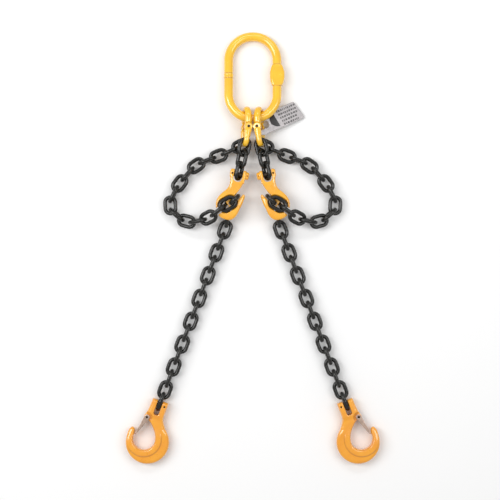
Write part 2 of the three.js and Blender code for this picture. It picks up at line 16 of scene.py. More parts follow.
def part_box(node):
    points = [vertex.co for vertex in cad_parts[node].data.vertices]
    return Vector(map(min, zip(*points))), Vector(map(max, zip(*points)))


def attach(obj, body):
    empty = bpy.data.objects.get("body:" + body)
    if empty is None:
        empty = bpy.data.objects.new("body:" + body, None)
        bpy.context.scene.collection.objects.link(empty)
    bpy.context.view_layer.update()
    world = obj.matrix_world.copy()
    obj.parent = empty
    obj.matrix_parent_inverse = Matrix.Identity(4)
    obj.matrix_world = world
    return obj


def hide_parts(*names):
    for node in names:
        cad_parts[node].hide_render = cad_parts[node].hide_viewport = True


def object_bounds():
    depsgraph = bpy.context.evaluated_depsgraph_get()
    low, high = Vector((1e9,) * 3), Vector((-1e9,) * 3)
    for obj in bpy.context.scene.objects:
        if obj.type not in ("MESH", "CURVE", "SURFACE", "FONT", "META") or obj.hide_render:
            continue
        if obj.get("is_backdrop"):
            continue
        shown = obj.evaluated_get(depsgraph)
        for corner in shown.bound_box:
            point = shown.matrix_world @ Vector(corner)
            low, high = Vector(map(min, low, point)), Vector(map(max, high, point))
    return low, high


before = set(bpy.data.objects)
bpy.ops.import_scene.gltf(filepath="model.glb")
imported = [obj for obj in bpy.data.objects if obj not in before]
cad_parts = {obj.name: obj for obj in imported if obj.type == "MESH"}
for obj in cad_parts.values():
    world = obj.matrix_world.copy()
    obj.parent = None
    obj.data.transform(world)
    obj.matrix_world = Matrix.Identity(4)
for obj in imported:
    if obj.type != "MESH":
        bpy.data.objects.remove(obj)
cad_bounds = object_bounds()

# ---- Driving dimensions, in metres and degrees ----
MM = 0.001
GAP = 0.3 * MM  # running clearance
THROUGH = 26 * MM  # half the length of a cut that goes right through

CHAIN_WIRE = 8 * MM
CHAIN_PITCH = 24 * MM
CHAIN_SLACK = 0.4 * MM
LINK_CROWN = 10.3 * MM  # radius of a link's crown, to the wire's centre

MASTER_WIRE = 18 * MM
MASTER_INSIDE = (77 * MM, 146 * MM)  # width and length
MASTER_REST_Z = 9 * MM
WELD_UP = 3 * MM
BOSS_UP = 4 * MM
BAR_HANG = 4.2 * MM

LOCK_WIRE = 11 * MM
LOCK_HALF_WIDTH = 17 * MM
LOCK_PIN = 4 * MM
LOCK_EYE = 7.2 * MM
LOCK_PIN_AT = Vector((-12, 240, 25.2)) * MM
LOCK_ROLL = 12
LOCK_TILT = 8
LOCK_TOP = 35 * MM
LOCK_BOTTOM = 34.3 * MM
BUSH_RADIUS = 6 * MM
BUSH_HALF = 10 * MM
EYE_INNER = (10.4 * MM, 14.2 * MM)  # where each eye starts and ends along the load pin
EYE_OUTER = (14.5 * MM, 20.6 * MM)
BOW_SHARE = 6.3 * MM  # how far each chain sits from the bow's middle

GRAB_HALF = 9 * MM
GRAB_WEB = 3.6 * MM
GRAB_PIN = 4.5 * MM
GRAB_PIN_HALF = 13.8 * MM
GRAB_FORK = (8.7 * MM, 15 * MM)  # half widths inside and outside
GRAB_FORK_DEPTH = 14.8 * MM
GRAB_BOSS_REACH = 21 * MM
GRAB_BOSS = 7.6 * MM
GRAB_TURN = 12
SLOT_ANGLE = 45
SLOT_WIDTH = 9.6 * MM
SLOT_AT = Vector((3, -49.5, 0)) * MM
HELD_TWIST = 15
HELD_DROP = 12
HELD_BACK = 3 * MM

SLING_Z = 14.6 * MM
SLING_HALF = 11 * MM
SLING_PIN = 5 * MM
SLING_PIN_HALF = 15.8 * MM
SLING_FORK = (5.2 * MM, 16.5 * MM)
SLING_FORK_DEPTH = 21 * MM
KEEPER = 1.8 * MM

LATCH_PIN = 2 * MM
LATCH_PIN_HALF = 8.6 * MM
LATCH_AT = Vector((-14.5, -31, 0)) * MM
LATCH_LEAN = 12.5
LUG_HALF = 3 * MM
EAR = (5.6 * MM, 7.4 * MM)  # inner and outer faces of the latch's cheeks

LEG_LINKS = 17
LEG_TURN = 20.5
LEG_LEAVES = 262
LEG_PIECES = (3, 3, 3, 3, 3, 2)
SHORT_ROLLS = (24, 134.5, 245)
SHORT_PITCH = CHAIN_PITCH - 0.5 * MM
LOOP_ROLLS = (0, 95, 5, 90, 0, 90, 0, 90, -5, 82, -8, 84, -3, 90)
LOOP_PIECES = (2, 4, 3, 3, 2)
LOOP_SLACK = 0.6 * MM
LOOP_RISE = 1.2 * MM
LOOP_LEAVES = 200
LOOP_MIDDLE = Vector((-70, 120, 0)) * MM
LOOP_ROUTE = (  # in millimetres
    (-40, 194, 18),
    (-67, 182, 14.8),
    (-90, 174, 14.6),
    (-112, 163, 14.6),
    (-143, 128, 14.6),
    (-158, 103, 14.6),
    (-160, 82, 14.6),
    (-147, 66, 14.8),
    (-126, 56, 16),
    (-104, 57, 24.5),
    (-84, 65, 33.6),
    (-68, 76, 38.4),
)

TAG_AT = Vector((12, 240, 18)) * MM
TAG_TURN = 24
TAG_SLOPE = 8

UP = Vector((0, 0, 1))
rad = math.radians


def heading(degrees):
    return Vector((math.cos(rad(degrees)), math.sin(rad(degrees)), 0))


def turned(axis, degrees):
    return Matrix.Rotation(rad(degrees), 4, axis)


def shifted(x=0, y=0, z=0):
    return Matrix.Translation((x, y, z))


ALONG_X = turned("Y", 90)


def smoothstep(low, high, value):
    t = min(max((value - low) / (high - low), 0), 1)
    return t * t * (3 - 2 * t)


def peak(off, width):
    """A smooth hump: 1 at zero, falling away over the width on both sides."""
    return math.exp(-((off / width) ** 2))


# ---- Materials ----
class Nodes:
    """A short way to write a node tree around one Principled shader."""

    def __init__(self, name):
        self.material = bpy.data.materials.new(name)
        self.material.use_nodes = True
        self.tree = self.material.node_tree
        self.shader = self.tree.nodes["Principled BSDF"]
        self.place = self.add("ShaderNodeTexCoord").outputs["Object"]

    def add(self, kind, **values):
        node = self.tree.nodes.new(kind)
        for key, value in values.items():
            setattr(node, key, value)
        return node

    def link(self, source, target):
        self.tree.links.new(source, target)

    def noise(self, scale, detail, roughness=0.55, place=None):
        node = self.add("ShaderNodeTexNoise")
        node.inputs["Scale"].default_value = scale
        node.inputs["Detail"].default_value = detail
        node.inputs["Roughness"].default_value = roughness
        self.link(place or self.place, node.inputs["Vector"])
        return node.outputs["Fac"]

    def spread(self, value, low, high, to_low, to_high):
        node = self.add("ShaderNodeMapRange")
        self.link(value, node.inputs["Value"])
        numbers = {"From Min": low, "From Max": high, "To Min": to_low, "To Max": to_high}
        for key, number in numbers.items():
            node.inputs[key].default_value = number
        return node.outputs["Result"]

    def mix(self, factor, first, second):
        node = self.add("ShaderNodeMix", data_type="RGBA")
        self.link(factor, node.inputs["Factor"])
        for socket, value in ((node.inputs["A"], first), (node.inputs["B"], second)):
            if isinstance(value, tuple):
                socket.default_value = (*value, 1)
            else:
                self.link(value, socket)
        return node.outputs["Result"]

    def attribute(self, name):
        return self.add("ShaderNodeAttribute", attribute_name=name).outputs["Fac"]

    def times(self, first, second):
        node = self.add("ShaderNodeMath", operation="MULTIPLY")
        self.link(first, node.inputs[0])
        self.link(second, node.inputs[1])
        return node.outputs["Value"]

    def bump(self, height, distance, strength, under=None):
        node = self.add("ShaderNodeBump")
        node.inputs["Distance"].default_value = distance
        node.inputs["Strength"].default_value = strength
        self.link(height, node.inputs["Height"])
        if under:
            self.link(under, node.inputs["Normal"])
        return node.outputs["Normal"]

    def finish(self, colour, roughness, normal, **values):
        self.link(colour, self.shader.inputs["Base Color"])
        self.link(roughness, self.shader.inputs["Roughness"])
        self.link(normal, self.shader.inputs["Normal"])
        for key, value in values.items():
            self.shader.inputs[key.replace("_", " ")].default_value = value
        return self.material


CHIP_TONE = (0.3, 0.15, 0.04)
RUBBED_TONE = (0.05, 0.047, 0.042)


def coat(name, light, deep, crease_shade_tone, gloss):
    """Powder coat on a forging: slow random changes of tone, orange peel, small chips, and shade painted
    darker into the creases.
    """
    n = Nodes(name)
    shade = n.spread(n.noise(45, 2), 0.3, 0.7, 0, 1)
    colour = n.mix(shade, light, deep)
    cells = n.noise(240, 4, 0.7)
    worn_areas = n.spread(n.noise(38, 2), 0.56, 0.66, 0, 1)
    chips = n.times(n.spread(cells, 0.655, 0.69, 0, 1), worn_areas)
    colour = n.mix(chips, colour, CHIP_TONE)
    # Painted shade: the creases are darkened toward the crease colour, standing in for the shade that falls
    # there.
    colour = n.mix(n.attribute("crease_shade"), colour, crease_shade_tone)
    roughness = n.spread(n.noise(120, 4), 0.3, 0.75, gloss, gloss + 0.12)
    peel = n.bump(n.noise(620, 2), 0.1 * MM, 0.2)
    pitted = n.bump(chips, 0.2 * MM, 0.6, peel)
    clear = {"Coat_Weight": 0.9, "Coat_Roughness": 0.1, "Coat_IOR": 1.6}
    return n.finish(colour, roughness, pitted, Specular_IOR_Level=0.6, **clear)


def lacquer(name):
    """Black lacquer on chain, rubbed to grey steel where links bear on each other."""
    n = Nodes(name)
    shade = n.spread(n.noise(160, 3), 0.3, 0.7, 0, 1)
    colour = n.mix(shade, (0.0055, 0.0053, 0.0042), (0.013, 0.0125, 0.0105))
    ragged = n.times(n.attribute("rubbed"), n.spread(n.noise(900, 4, 0.7), 0.42, 0.6, 0, 1))
    colour = n.mix(ragged, colour, RUBBED_TONE)
    roughness = n.spread(n.noise(420, 3), 0.3, 0.75, 0.17, 0.34)
    scale = n.bump(n.noise(1100, 3, 0.65), 0.1 * MM, 0.5)
    clear = {"Coat_Weight": 0.2, "Coat_Roughness": 0.16}
    return n.finish(colour, roughness, scale, Specular_IOR_Level=0.42, **clear)


def plated(name, light, deep, roughness):
    """Zinc plate: cloudy, finely drawn along the piece, a little yellowed in places."""
    n = Nodes(name)
    stretch = n.add("ShaderNodeMapping")
    stretch.inputs["Scale"].default_value = (3.2, 0.35, 3.2)
    n.link(n.place, stretch.inputs["Vector"])
    drawn = n.noise(900, 3, place=stretch.outputs["Vector"])
    colour = n.mix(n.spread(n.noise(150, 4), 0.35, 0.7, 0, 1), light, deep)
    rough = n.spread(drawn, 0.3, 0.7, roughness, roughness + 0.15)
    lines = n.bump(drawn, 0.06 * MM, 0.4)
    return n.finish(colour, rough, lines, Metallic=0.92)


def enamel(name, dark, light):
    """Dull enamel, slightly uneven."""
    n = Nodes(name)
    colour = n.mix(n.noise(300, 2), dark, light)
    roughness = n.spread(n.noise(500, 2), 0.3, 0.7, 0.3, 0.5)
    return n.finish(colour, roughness, n.bump(n.noise(900, 2), 0.08 * MM, 0.4))


def ground(name):
    """Matt pale floor paint."""
    n = Nodes(name)
    colour = n.mix(n.noise(3, 2), (0.92, 0.92, 0.918), (0.94, 0.94, 0.94))
    roughness = n.spread(n.noise(20, 2), 0.3, 0.7, 0.7, 0.85)
    return n.finish(colour, roughness, n.bump(n.noise(350, 2), 0.1 * MM, 0.1))


# Each coat's third colour is the painted shade that darkens its creases.
YELLOW = coat("yellow_coat", (0.97, 0.57, 0.016), (0.94, 0.5, 0.01), (0.5, 0.2, 0.008), 0.18)
GOLD = coat("gold_coat", (0.96, 0.46, 0.014), (0.9, 0.38, 0.009), (0.48, 0.15, 0.006), 0.22)
AMBER = coat("amber_coat", (0.92, 0.39, 0.01), (0.86, 0.32, 0.007), (0.42, 0.13, 0.005), 0.25)
BLACK = lacquer("black_lacquer")
STEEL = plated("zinc_plate", (0.66, 0.5, 0.41), (0.44, 0.31, 0.24), 0.26)
DARK = plated("blackened_steel", (0.07, 0.055, 0.04), (0.03, 0.024, 0.02), 0.4)
TAG = plated("tag_metal", (0.5, 0.475, 0.48), (0.37, 0.35, 0.355), 0.36)
PASSIVATED = plated("yellow_passivated", (0.75, 0.36, 0.03), (0.6, 0.24, 0.02), 0.3)
INK = enamel("tag_enamel", (0.012, 0.011, 0.012), (0.035, 0.033, 0.034))
STAMP = enamel("tag_stamping", (0.07, 0.066, 0.066), (0.15, 0.145, 0.145))


# ---- Mesh data: (vertices, faces) pairs ----
TURNED_SIDES = 40
QUAD_STEPS = 14
ARC_STEP = 6  # degrees
SAME_POINT = 0.01  # millimetres


def moved(data, matrix):
    """The same solid, carried by a matrix."""
    vertices, faces = data
    return [matrix @ v for v in vertices], faces


def joined(parts):
    """Several solids as one."""
    vertices, faces = [], []
    for more, polygons in parts:
        first = len(vertices)
        vertices += more
        faces += [tuple(first + i for i in polygon) for polygon in polygons]
    return vertices, faces


def grid_faces(rows, sides, closed):
    """Quads over rows of points that each run round. When closed, the last row meets the first."""
    count = rows if closed else rows - 1
    faces = []
    for i in range(count):
        for k in range(sides):
            a, b = i * sides, (i + 1) % rows * sides
            m = (k + 1) % sides
            faces.append((a + k, b + k, b + m, a + m))
    return faces


def ring(radius, straight_half, section, arc_steps, straight_steps, sides):
    """An oblong ring in the XY plane. section(bar, y, angle) gives the wire's reach and height there. bar is
    1 or -1 along the straights and 0 round the crowns."""
    stations = []
    for end in (1, -1):
        for i in range(arc_steps + 1):
            angle = math.pi * i / arc_steps + (0 if end > 0 else math.pi)
            out = Vector((math.cos(angle), math.sin(angle), 0))
            stations.append((Vector((0, end * straight_half, 0)), out, 0))
        for i in range(1, straight_steps):
            y = end * straight_half * (1 - 2 * i / straight_steps)
            stations.append((Vector((0, y, 0)), Vector((-end, 0, 0)), -end))
    vertices = []
    for middle, out, bar in stations:
        for k in range(sides):
            angle = 2 * math.pi * k / sides
            reach, height = section(bar, middle.y, angle)
            vertices.append(middle + out * (radius + reach) + UP * height)
    return vertices, grid_faces(len(stations), sides, True)


def tube(points, radius, sides, axis):
    """A round wire through points, with axis across it."""
    vertices = []
    for i, point in enumerate(points):
        along = (points[min(i + 1, len(points) - 1)] - points[max(i - 1, 0)]).normalized()
        across = axis.cross(along)
        for k in range(sides):
            angle = 2 * math.pi * k / sides
            vertices.append(point + radius * (across * math.cos(angle) + axis * math.sin(angle)))
    faces = grid_faces(len(points), sides, False)
    faces.append(tuple(range(sides)))
    faces.append(tuple(reversed(range(len(vertices) - sides, len(vertices)))))
    return vertices, faces


def lathe(profile):
    """A solid of revolution about Z from (radius, z) points, lowest first. A closed profile is a sleeve."""
    angles = [2 * math.pi * k / TURNED_SIDES for k in range(TURNED_SIDES)]
    vertices = [Vector((r * math.cos(a), r * math.sin(a), z)) for r, z in profile for a in angles]
    closed = profile[0] == profile[-1]
    rows = len(profile) - closed
    faces = [tuple(reversed(face)) for face in grid_faces(rows, TURNED_SIDES, closed)]
    if not closed:
        faces.append(tuple(reversed(range(TURNED_SIDES))))
        faces.append(tuple(range(len(vertices) - TURNED_SIDES, len(vertices))))
    return vertices[: rows * TURNED_SIDES], faces


def rod(radius, low=-THROUGH, high=THROUGH):
    """A round bar along Z, long enough by default to bore right through a forging."""
    return lathe([(radius, low), (radius, high)])


def pin(radius, half, chamfer=0.8 * MM, dish=0.5 * MM):
    """A pin along Z with chamfered, slightly dished ends."""
    profile = [(radius * 0.55, -half + dish), (radius - 1.4 * chamfer, -half)]
    profile += [(radius - 0.3 * chamfer, -half + 0.5 * chamfer), (radius, -half + chamfer)]
    return lathe(profile + [(r, -z) for r, z in reversed(profile)])


def sleeve(inner, outer, low, high):
    """A bush with its outer edges chamfered."""
    chamfer = 0.4 * MM
    profile = [(inner, low), (outer - chamfer, low), (outer, low + chamfer)]
    profile += [(outer, high - chamfer), (outer - chamfer, high), (inner, high), (inner, low)]
    return lathe(profile)


def box(low, high):
    corners = [Vector(corner) for corner in itertools.product(*zip(low, high))]
    faces = [(0, 1, 3, 2), (4, 6, 7, 5), (0, 4, 5, 1), (2, 3, 7, 6), (0, 2, 6, 4), (1, 5, 7, 3)]
    return corners, faces


def outline(*steps):
    """Points of a flat outline, counter-clockwise, from steps in millimetres and degrees: ("line", x, y),
    ("quad", cx, cy, x, y) and ("arc", cx, cy, radius, from, to)."""
    points = []
    for kind, *numbers in steps:
        if kind == "line":
            points.append(Vector(numbers))
        elif kind == "quad":
            start, control, end = points[-1], Vector(numbers[:2]), Vector(numbers[2:])
            for i in range(1, QUAD_STEPS + 1):
                t = i / QUAD_STEPS
                points.append(start * (1 - t) ** 2 + control * 2 * t * (1 - t) + end * t * t)
        else:
            cx, cy, radius, first, last = numbers
            count = max(2, int(abs(last - first) / ARC_STEP))
            for i in range(count + 1):
                a = rad(first + (last - first) * i / count)
                points.append(Vector((cx + radius * math.cos(a), cy + radius * math.sin(a))))
    clean = [p * MM for i, p in enumerate(points) if (p - points[i - 1]).length > SAME_POINT]
    area = sum(a.cross(b) for a, b in zip(clean, clean[1:] + clean[:1]))
    return clean if area > 0 else clean[::-1]


def inset(points, distance):
    """An outline moved inwards, its corners mitred up to twice the distance."""
    moved_in = []
    for i, point in enumerate(points):
        before = (point - points[i - 1]).normalized()
        after = (points[(i + 1) % len(points)] - point).normalized()
        along = (before + after).normalized()
        inwards = Vector((-along.y, along.x))
        stretch = max(0.5, abs(along.dot(before)))
        moved_in.append(point + inwards * distance / stretch)
    return moved_in


def plate(points, half, edge, steps=5):
    """A plate whose long edges are rounded to the radius `edge`, its middle at z = 0."""
    layers = []
    for i in range(steps + 1):
        a = math.pi / 2 * i / steps
        layers.append((edge * (1 - math.cos(a)), half - edge + edge * math.sin(a)))
    layers = [(d, -z) for d, z in reversed(layers)] + layers
    vertices = []
    for distance, z in layers:
        vertices += [Vector((p.x, p.y, z)) for p in inset(points, distance)]
    count = len(points)
    faces = [tuple(reversed(face)) for face in grid_faces(len(layers), count, False)]
    faces.append(tuple(reversed(range(count))))
    faces.append(tuple(range(len(vertices) - count, len(vertices))))
    return vertices, faces


def prism(points, half):
    """A plate with square edges, for cutting."""
    return plate(points, half, 0.01 * MM, 1)


# ---- Objects ----
SHARP_ANGLE = 35


def mesh_of(name, data):
    mesh = bpy.data.meshes.new(name)
    mesh.from_pydata([tuple(v) for v in data[0]], [], data[1])
    return mesh


def added(name, data):
    """A new object in the scene."""
    thing = bpy.data.objects.new(name, data)
    bpy.context.scene.collection.objects.link(thing)
    return thing


def mark(mesh, attribute, strengths):
    """Stores a strength for every vertex, which the material reads."""
    layer = mesh.attributes.new(attribute, "FLOAT", "POINT")
    layer.data.foreach_set("value", strengths)
    return mesh


# Painted shade: stores how much each vertex's coat is darkened in its creases.
def mark_crease_shade(mesh, crease_shade):
    return mark(mesh, "crease_shade", [crease_shade(vertex.co) for vertex in mesh.vertices])


def evaluated(name, mesh, modifiers):
    """The mesh after a stack of (type, settings) modifiers."""
    thing = added(name, mesh)
    for kind, settings in modifiers:
        modifier = thing.modifiers.new(kind, kind)
        for key, value in settings.items():
            setattr(modifier, key, value)
    graph = bpy.context.evaluated_depsgraph_get()
    result = bpy.data.meshes.new_from_object(thing.evaluated_get(graph))
    bpy.data.objects.remove(thing)
    return result


def smoothing(times):
    return "SMOOTH", {"factor": 0.5, "iterations": times}


def forged(name, parts, cuts, voxel, soften, shape=None, keep=0.4, crease_shade=None):
    """Parts fused and softened as a drop forging, shaped, cut, then softened a little again. keep is the
    share of its faces that the mesh keeps."""
    remesh = ("REMESH", {"mode": "VOXEL", "voxel_size": voxel})
    blank = evaluated(name, mesh_of(name, joined(parts)), [remesh, smoothing(soften)])
    if shape:
        for vertex in blank.vertices:
            vertex.co = shape(vertex.co.copy())
    tools = [added("tool", mesh_of("tool", cut)) for cut in cuts]
    drill = [("BOOLEAN", {"operation": "DIFFERENCE", "solver": "EXACT", "object": tool}) for tool in tools]
    result = evaluated(name, blank, [*drill, remesh, smoothing(3), ("DECIMATE", {"ratio": keep})])
    for tool in tools:
        bpy.data.objects.remove(tool)
    # When a crease function is given, the painted crease shade is stored on the mesh for the coat.
    return mark_crease_shade(result, crease_shade) if crease_shade else result


def show(name, mesh, material, body, node, matrix, edged=False):
    """A piece that moves with a body and, unless node is None, stands for that node. An edged one keeps its
    edges sharp."""
    mesh.transform(matrix)
    if matrix.determinant() < 0:
        mesh.flip_normals()
    mesh.materials.append(material)
    mesh.shade_smooth()
    if edged:
        mesh.set_sharp_from_angle(angle=rad(SHARP_ANGLE))
    piece = added(name, mesh)
    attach(piece, body)
    if node:
        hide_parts(node)


# ---- Layout of the left side ----
LINK_APEX = CHAIN_PITCH / 2 + CHAIN_SLACK / 2 + CHAIN_WIRE / 2
PIVOT = (CHAIN_WIRE + CHAIN_SLACK) / 2
BAR_TO_PIVOT = LINK_APEX - CHAIN_WIRE / 2 - GAP
END_STEPS = 1000  # the curve's direction at its end is taken over one of these steps
LOOK_AHEAD = 0.2  # how far along the curve, whose length is 1, a link's far end is looked for
LINK_HALVINGS = 40
LOOP_HALVINGS = 30
BULGE_RANGE = (0.8, 1.25)


def half_span(roll):
    """Half the length that a link takes up in a chain whose links are rolled this much either way."""
    return CHAIN_PITCH / 2 - PIVOT * math.cos(2 * rad(roll))


def basis(x, y, z, at):
    matrix = Matrix((x, y, z)).transposed().to_4x4()
    matrix.translation = at
    return matrix


def link_matrix(centre, along, roll):
    """A link's frame: its length along Y, and rolled about it. It lies flat at 0."""
    y = along.normalized()
    side = UP.cross(y).normalized()
    up = -y.cross(side)
    if up.z < 0:
        up.negate()
    z = up * math.cos(rad(roll)) + side * math.sin(rad(roll))
    return basis(y.cross(z), y, z, centre)


def straight_chain(start, along, rolls):
    """Links laid end to end on a straight line."""
    at, links = start.copy(), []
    for roll in rolls:
        half = half_span(roll)
        links.append(link_matrix(at + along * half, along, roll))
        at = at + along * 2 * half
    return links


def on_curve(points, t):
    """A place on a centripetal Catmull-Rom curve through points, which runs straight on past t = 1."""
    if t > 1:
        end, near = on_curve(points, 1), on_curve(points, 1 - 1 / END_STEPS)
        return end + (end - near) * (t - 1) * END_STEPS
    place = (len(points) - 1) * t
    i = min(int(place), len(points) - 2)
    weight = place - i
    p1, p2 = points[i], points[i + 1]
    p0 = points[i - 1] if i > 0 else p1 * 2 - p2
    p3 = points[i + 2] if i + 2 < len(points) else p2 * 2 - p1
    d0, d1, d2 = (math.sqrt((b - a).length) for a, b in ((p0, p1), (p1, p2), (p2, p3)))
    slope1 = ((p1 - p0) / d0 - (p2 - p0) / (d0 + d1) + (p2 - p1) / d1) * d1
    slope2 = ((p2 - p1) / d1 - (p3 - p1) / (d1 + d2) + (p3 - p2) / d2) * d1
    square = (p2 - p1) * 3 - slope1 * 2 - slope2
    cube = (p1 - p2) * 2 + slope1 + slope2
    return p1 + slope1 * weight + square * weight**2 + cube * weight**3


def last_where(holds, low, high, halvings):
    """The highest value between low and high at which holds(value) is still true."""
    for _ in range(halvings):
        middle = (low + high) / 2
        if holds(middle):
            low = middle
        else:
            high = middle
    return low


def curved_chain(points, rolls):
    """Links laid end to end along the curve, and where on the curve the last one ends."""
    at, t, links = on_curve(points, 0), 0, []
    for roll in rolls:
        length = 2 * half_span(roll)

        def within_reach(place, start=at, reach=length):
            return (on_curve(points, place) - start).length < reach

        t = last_where(within_reach, t, t + LOOK_AHEAD, LINK_HALVINGS)
        following = on_curve(points, t)
        along = (following - at).normalized()
        links.append(link_matrix(at + along * length / 2, along, roll))
        at = following
    return links, t


def pieces_of(links, counts):
    """The links shared out into runs."""
    first, result = 0, []
    for count in counts:
        result.append(links[first : first + count])
        first += count
    return result


load_pin_low, load_pin_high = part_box("left_coupling_load_pin")
ORIGIN = Matrix.Translation((Vector(load_pin_low) + Vector(load_pin_high)) / 2 - LOCK_PIN_AT)

lock = Matrix.Translation(LOCK_PIN_AT) @ turned("Y", LOCK_ROLL)
lower_frame = lock @ turned("Z", -LOCK_TILT)
bow_short = lower_frame @ Vector((0, -LOCK_BOTTOM, BOW_SHARE))
bow_long = lower_frame @ Vector((0, -LOCK_BOTTOM, -BOW_SHARE))

short_along = heading(-90 - GRAB_TURN)
short_starts = [BAR_TO_PIVOT - LOCK_WIRE / 2 + i * SHORT_PITCH for i in range(len(SHORT_ROLLS))]
short_centres = [bow_short + short_along * start for start in short_starts]
short_links = [link_matrix(c, short_along, roll) for c, roll in zip(short_centres, SHORT_ROLLS)]
grab_pin_at = short_centres[-1] + short_along * (BAR_TO_PIVOT - GRAB_PIN)
grab_frame = Matrix.Translation(grab_pin_at) @ turned("Z", -GRAB_TURN)

slot_at = grab_frame @ SLOT_AT
HELD_LIFT = LINK_APEX - CHAIN_WIRE - GAP
front_way = heading(SLOT_ANGLE - HELD_TWIST + 180)
rear_flat = heading(SLOT_ANGLE + HELD_TWIST + 180)
rear_way = rear_flat * math.cos(rad(HELD_DROP)) - UP * math.sin(rad(HELD_DROP))
held_pivot = slot_at - heading(SLOT_ANGLE) * HELD_BACK
front_centre = held_pivot + front_way * (LINK_APEX - HELD_BACK) + UP * HELD_LIFT
rear_centre = held_pivot - rear_flat * HELD_BACK - UP * HELD_LIFT + rear_way * LINK_APEX
held_links = [
    link_matrix(front_centre, front_way, 0),
    Matrix.Translation(slot_at) @ turned("Z", SLOT_ANGLE) @ turned("X", 90),
    link_matrix(rear_centre, rear_way, 0),
]

loop_start = bow_long + heading(LOOP_LEAVES) * (BAR_TO_PIVOT - LOCK_WIRE / 2 - half_span(0))
loop_end = front_centre + front_way * (half_span(0) - LOOP_SLACK) + UP * LOOP_RISE


def loop_route(bulge):
    """Points that the loop passes, spread out from its middle by the bulge."""
    points = []
    for x, y, z in LOOP_ROUTE:
        flat = LOOP_MIDDLE + (Vector((x, y, 0)) * MM - LOOP_MIDDLE) * bulge
        points.append(Vector((flat.x, flat.y, z * MM)))
    return [loop_start, *points, loop_end]


def loop_reaches_end(bulge):
    return curved_chain(loop_route(bulge), LOOP_ROLLS)[1] >= 1


loop_bulge = last_where(loop_reaches_end, *BULGE_RANGE, LOOP_HALVINGS)
loop_links = curved_chain(loop_route(loop_bulge), LOOP_ROLLS)[0]

leg_way = heading(-90 - LEG_TURN)
leg_rolls = [0 if i % 2 else 90 for i in range(LEG_LINKS)]
leg_start = rear_centre + rear_way * half_span(0)
leg_dip = math.asin((SLING_Z - leg_start.z) / (2 * half_span(90)))
dip_way = heading(LEG_LEAVES) * math.cos(leg_dip) + UP * math.sin(leg_dip)
leg_links = straight_chain(leg_start, dip_way, leg_rolls[:1])
leg_links += straight_chain(leg_start + dip_way * 2 * half_span(90), leg_way, leg_rolls[1:])
sling_pin_at = leg_links[-1].translation + leg_way * (BAR_TO_PIVOT - SLING_PIN)
sling_frame = Matrix.Translation(sling_pin_at) @ turned("Z", -LEG_TURN)
latch_frame = Matrix.Translation(sling_frame @ LATCH_AT) @ turned("Z", -LEG_TURN - LATCH_LEAN)

# ---- Chain ----
UPSET_HALF = 1.5 * MM  # the butt weld on one bar of each link
UPSET_SWELL = 0.09
LINK_WIRE = CHAIN_WIRE - 0.1 * MM
OUTSIDE_FLATTER = 0.93
RUBBED_FADES = (3.4 * MM, 1 * MM)
INNER_CROWN = LINK_APEX - CHAIN_WIRE / 2


def link_section(bar, y, angle):
    """A bar's section: a little flatter on the link's outside, and thicker at the weld."""
    swell = UPSET_SWELL * peak(y, UPSET_HALF) if bar > 0 else 0
    reach = LINK_WIRE / 2 * (1 + swell) * math.cos(angle)
    if reach > 0:
        reach *= OUTSIDE_FLATTER
    return reach, LINK_WIRE / 2 * math.sin(angle)


LINK = ring(LINK_CROWN, LINK_APEX - LINK_CROWN, link_section, arc_steps=14, straight_steps=10, sides=18)
RUBBED = [smoothstep(*RUBBED_FADES, Vector((v.x, abs(v.y) - INNER_CROWN, v.z)).length) for v in LINK[0]]


def chain_mesh(name, links):
    mesh = mesh_of(name, joined([moved(LINK, matrix) for matrix in links]))
    return mark(mesh, "rubbed", RUBBED * len(links))


# ---- Master link ----
master_radius = (MASTER_INSIDE[0] + MASTER_WIRE) / 2
master_apex = (MASTER_INSIDE[1] + MASTER_WIRE) / 2
master_bar_y = LOCK_PIN_AT.y + LOCK_TOP - LOCK_WIRE / 2 - MASTER_WIRE / 2 - BAR_HANG
master_tilt = math.asin((LOCK_PIN_AT.z - MASTER_REST_Z - GAP) / (2 * master_apex))
COLLAR_EDGE = (5.2, 4.2)  # the weld's collar, in millimetres from its middle
COLLAR_SWELL = 0.03
COLLAR_LIP = 3.2
COLLAR_LIP_WIDTH = 0.8
COLLAR_LIP_SWELL = 0.055
BOSS_HALF_LENGTH = 21.5 * MM
BOSS_HALF_WIDTH = 14.6 * MM
BOSS_STEP = 1.6 * MM
BOSS_RISE = 0.35 * MM
BOSS_SHIFT = 0.5 * MM
BOSS_FULLNESS = 0.8
BOSS_SQUARING = 0.5
# Where and how strongly shade is painted into the master link's coat: beside the weld's collar and at the
# boss's ends.
COLLAR_SHADE_AT = 4.9 * MM
COLLAR_REACH = 20 * MM
SHADE_LINE_WIDTH = 0.8 * MM
COLLAR_SHADE_STRENGTH = 0.8
BOSS_SHADE_STRENGTH = 0.6


def master_section(bar, y, angle):
    """The wire's section, with the weld's collar on one bar and the flattened boss on the other."""
    radius = MASTER_WIRE / 2 - 0.05 * MM
    cosine, sine = math.cos(angle), math.sin(angle)
    if bar < 0:
        off = (y - WELD_UP) / MM
        lips = peak(off - COLLAR_LIP, COLLAR_LIP_WIDTH) + peak(off + COLLAR_LIP, COLLAR_LIP_WIDTH)
        radius *= 1 + COLLAR_SWELL * smoothstep(*COLLAR_EDGE, abs(off)) + COLLAR_LIP_SWELL * lips
    if bar > 0:
        off = abs(y - BOSS_UP)
        flat = 1 - smoothstep(BOSS_HALF_LENGTH - BOSS_STEP, BOSS_HALF_LENGTH, off)
        bulge = max(0, 1 - (off / BOSS_HALF_LENGTH) ** 2)
        wide = radius + (BOSS_HALF_WIDTH - radius) * bulge**BOSS_FULLNESS
        tall = radius + BOSS_RISE * flat
        power = 1 - BOSS_SQUARING * flat
        across = wide * math.copysign(abs(cosine) ** power, cosine)
        return across + BOSS_SHIFT * bulge, tall * math.copysign(abs(sine) ** power, sine)
    return radius * cosine, radius * sine


